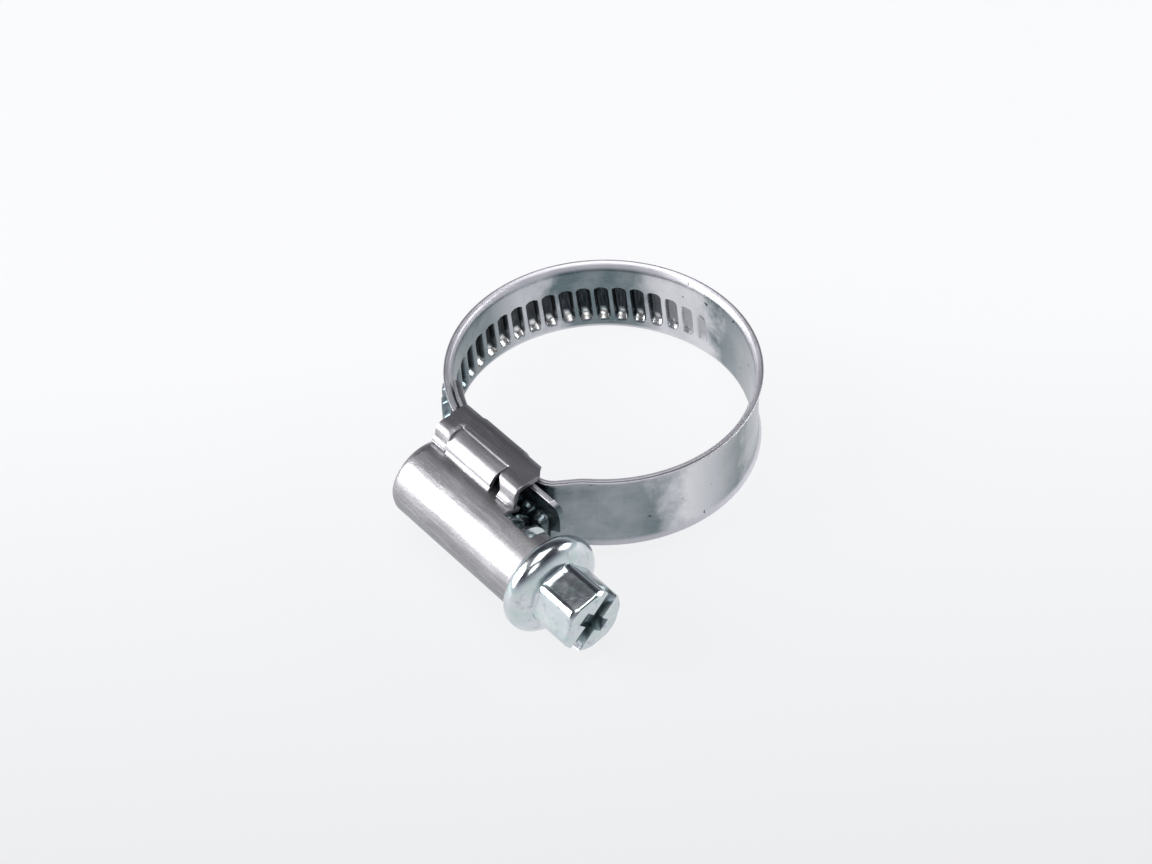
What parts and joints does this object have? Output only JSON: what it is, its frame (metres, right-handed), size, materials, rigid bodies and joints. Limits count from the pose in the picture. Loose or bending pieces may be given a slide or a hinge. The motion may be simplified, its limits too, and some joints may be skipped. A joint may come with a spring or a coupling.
{
  "type": "hose clamp",
  "caption": "Worm-drive band clamp: a flared-edge toothed steel band pulled through a pressed housing by a slotted hexagon-head screw to squeeze a hose onto a spigot.",
  "frame": {"origin": "middle of the bottom face of the bounding box, under the screw's collar", "axes": "+Z is the hose's axis, +X runs along the screw towards its head, and the housing is at -Y"},
  "size_m": [0.0372, 0.0408, 0.0115],
  "materials": {
    "band_steel": "rolled steel strip with a thin bluish zinc coat, faint lengthwise lines and small pits",
    "housing_steel": "satin pressed steel sheet with fine grain",
    "screw_steel": "bright blue-passivated zinc, glossy, with tool marks"
  },
  "bodies": {
    "housing": {"housing": "housing_steel", "band_fixed_end": "band_steel"},
    "worm_screw": {"worm_screw": "screw_steel"},
    "band_tip": {"band_tip": "band_steel"},
    "band_plain_1": {"band_plain_1": "band_steel"},
    "band_plain_2": {"band_plain_2": "band_steel"},
    "band_plain_3": {"band_plain_3": "band_steel"},
    "band_plain_4": {"band_plain_4": "band_steel"},
    "band_toothed_1": {"band_toothed_1": "band_steel"},
    "band_toothed_2": {"band_toothed_2": "band_steel"},
    "band_toothed_3": {"band_toothed_3": "band_steel"},
    "band_toothed_4": {"band_toothed_4": "band_steel"},
    "band_toothed_5": {"band_toothed_5": "band_steel"}
  },
  "joints": [
    {"name": "screw_turn", "type": "hinge", "parent": "housing", "child": "worm_screw", "pos_m": [0.01104, -0.01516, 0.00525], "axis": [-1, 0, 0], "range_deg": [-720, 300]},
    {"name": "tip_slide", "type": "slide", "parent": "housing", "child": "band_tip", "axis": [1, 0, 0], "range_m": [-0.00377, 0.00157]},
    {"name": "plain_1_bend", "type": "hinge", "parent": "housing", "child": "band_plain_1", "pos_m": [0.00809, -0.00669, 0.00628], "axis": [0, 0, 1], "range_deg": [-2.05, 0.86]},
    {"name": "plain_2_bend", "type": "hinge", "parent": "band_plain_1", "child": "band_plain_2", "pos_m": [0.01243, 0.00122, 0.00628], "axis": [0, 0, 1], "range_deg": [-1.78, 0.74]},
    {"name": "plain_3_bend", "type": "hinge", "parent": "band_plain_2", "child": "band_plain_3", "pos_m": [0.01151, 0.0102, 0.00628], "axis": [0, 0, 1], "range_deg": [-1.46, 0.61]},
    {"name": "plain_4_bend", "type": "hinge", "parent": "band_plain_3", "child": "band_plain_4", "pos_m": [0.00566, 0.01707, 0.00628], "axis": [0, 0, 1], "range_deg": [-1.21, 0.51]},
    {"name": "toothed_1_bend", "type": "hinge", "parent": "band_plain_4", "child": "band_toothed_1", "pos_m": [-0.00306, 0.01941, 0.00628], "axis": [0, 0, 1], "range_deg": [-1.12, 0.47]},
    {"name": "toothed_2_bend", "type": "hinge", "parent": "band_toothed_1", "child": "band_toothed_2", "pos_m": [-0.01177, 0.01624, 0.00628], "axis": [0, 0, 1], "range_deg": [-1.23, 0.51]},
    {"name": "toothed_3_bend", "type": "hinge", "parent": "band_toothed_2", "child": "band_toothed_3", "pos_m": [-0.01701, 0.00859, 0.00628], "axis": [0, 0, 1], "range_deg": [-1.49, 0.62]},
    {"name": "toothed_4_bend", "type": "hinge", "parent": "band_toothed_3", "child": "band_toothed_4", "pos_m": [-0.01683, -0.00068, 0.00628], "axis": [0, 0, 1], "range_deg": [-1.82, 0.76]},
    {"name": "toothed_5_bend", "type": "hinge", "parent": "band_toothed_4", "child": "band_toothed_5", "pos_m": [-0.01129, -0.00812, 0.00628], "axis": [0, 0, 1], "range_deg": [-2.08, 0.87]}
  ],
  "couplings": [
    {"joint": "tip_slide", "follows": "screw_turn", "m_per_rad": 0.00030001},
    {"joint": "plain_1_bend", "follows": "screw_turn", "ratio": 0.0028455},
    {"joint": "plain_2_bend", "follows": "screw_turn", "ratio": 0.0024638},
    {"joint": "plain_3_bend", "follows": "screw_turn", "ratio": 0.0020237},
    {"joint": "plain_4_bend", "follows": "screw_turn", "ratio": 0.0016805},
    {"joint": "toothed_1_bend", "follows": "screw_turn", "ratio": 0.0015554},
    {"joint": "toothed_2_bend", "follows": "screw_turn", "ratio": 0.0017001},
    {"joint": "toothed_3_bend", "follows": "screw_turn", "ratio": 0.0020678},
    {"joint": "toothed_4_bend", "follows": "screw_turn", "ratio": 0.0025215},
    {"joint": "toothed_5_bend", "follows": "screw_turn", "ratio": 0.002892}
  ]
}
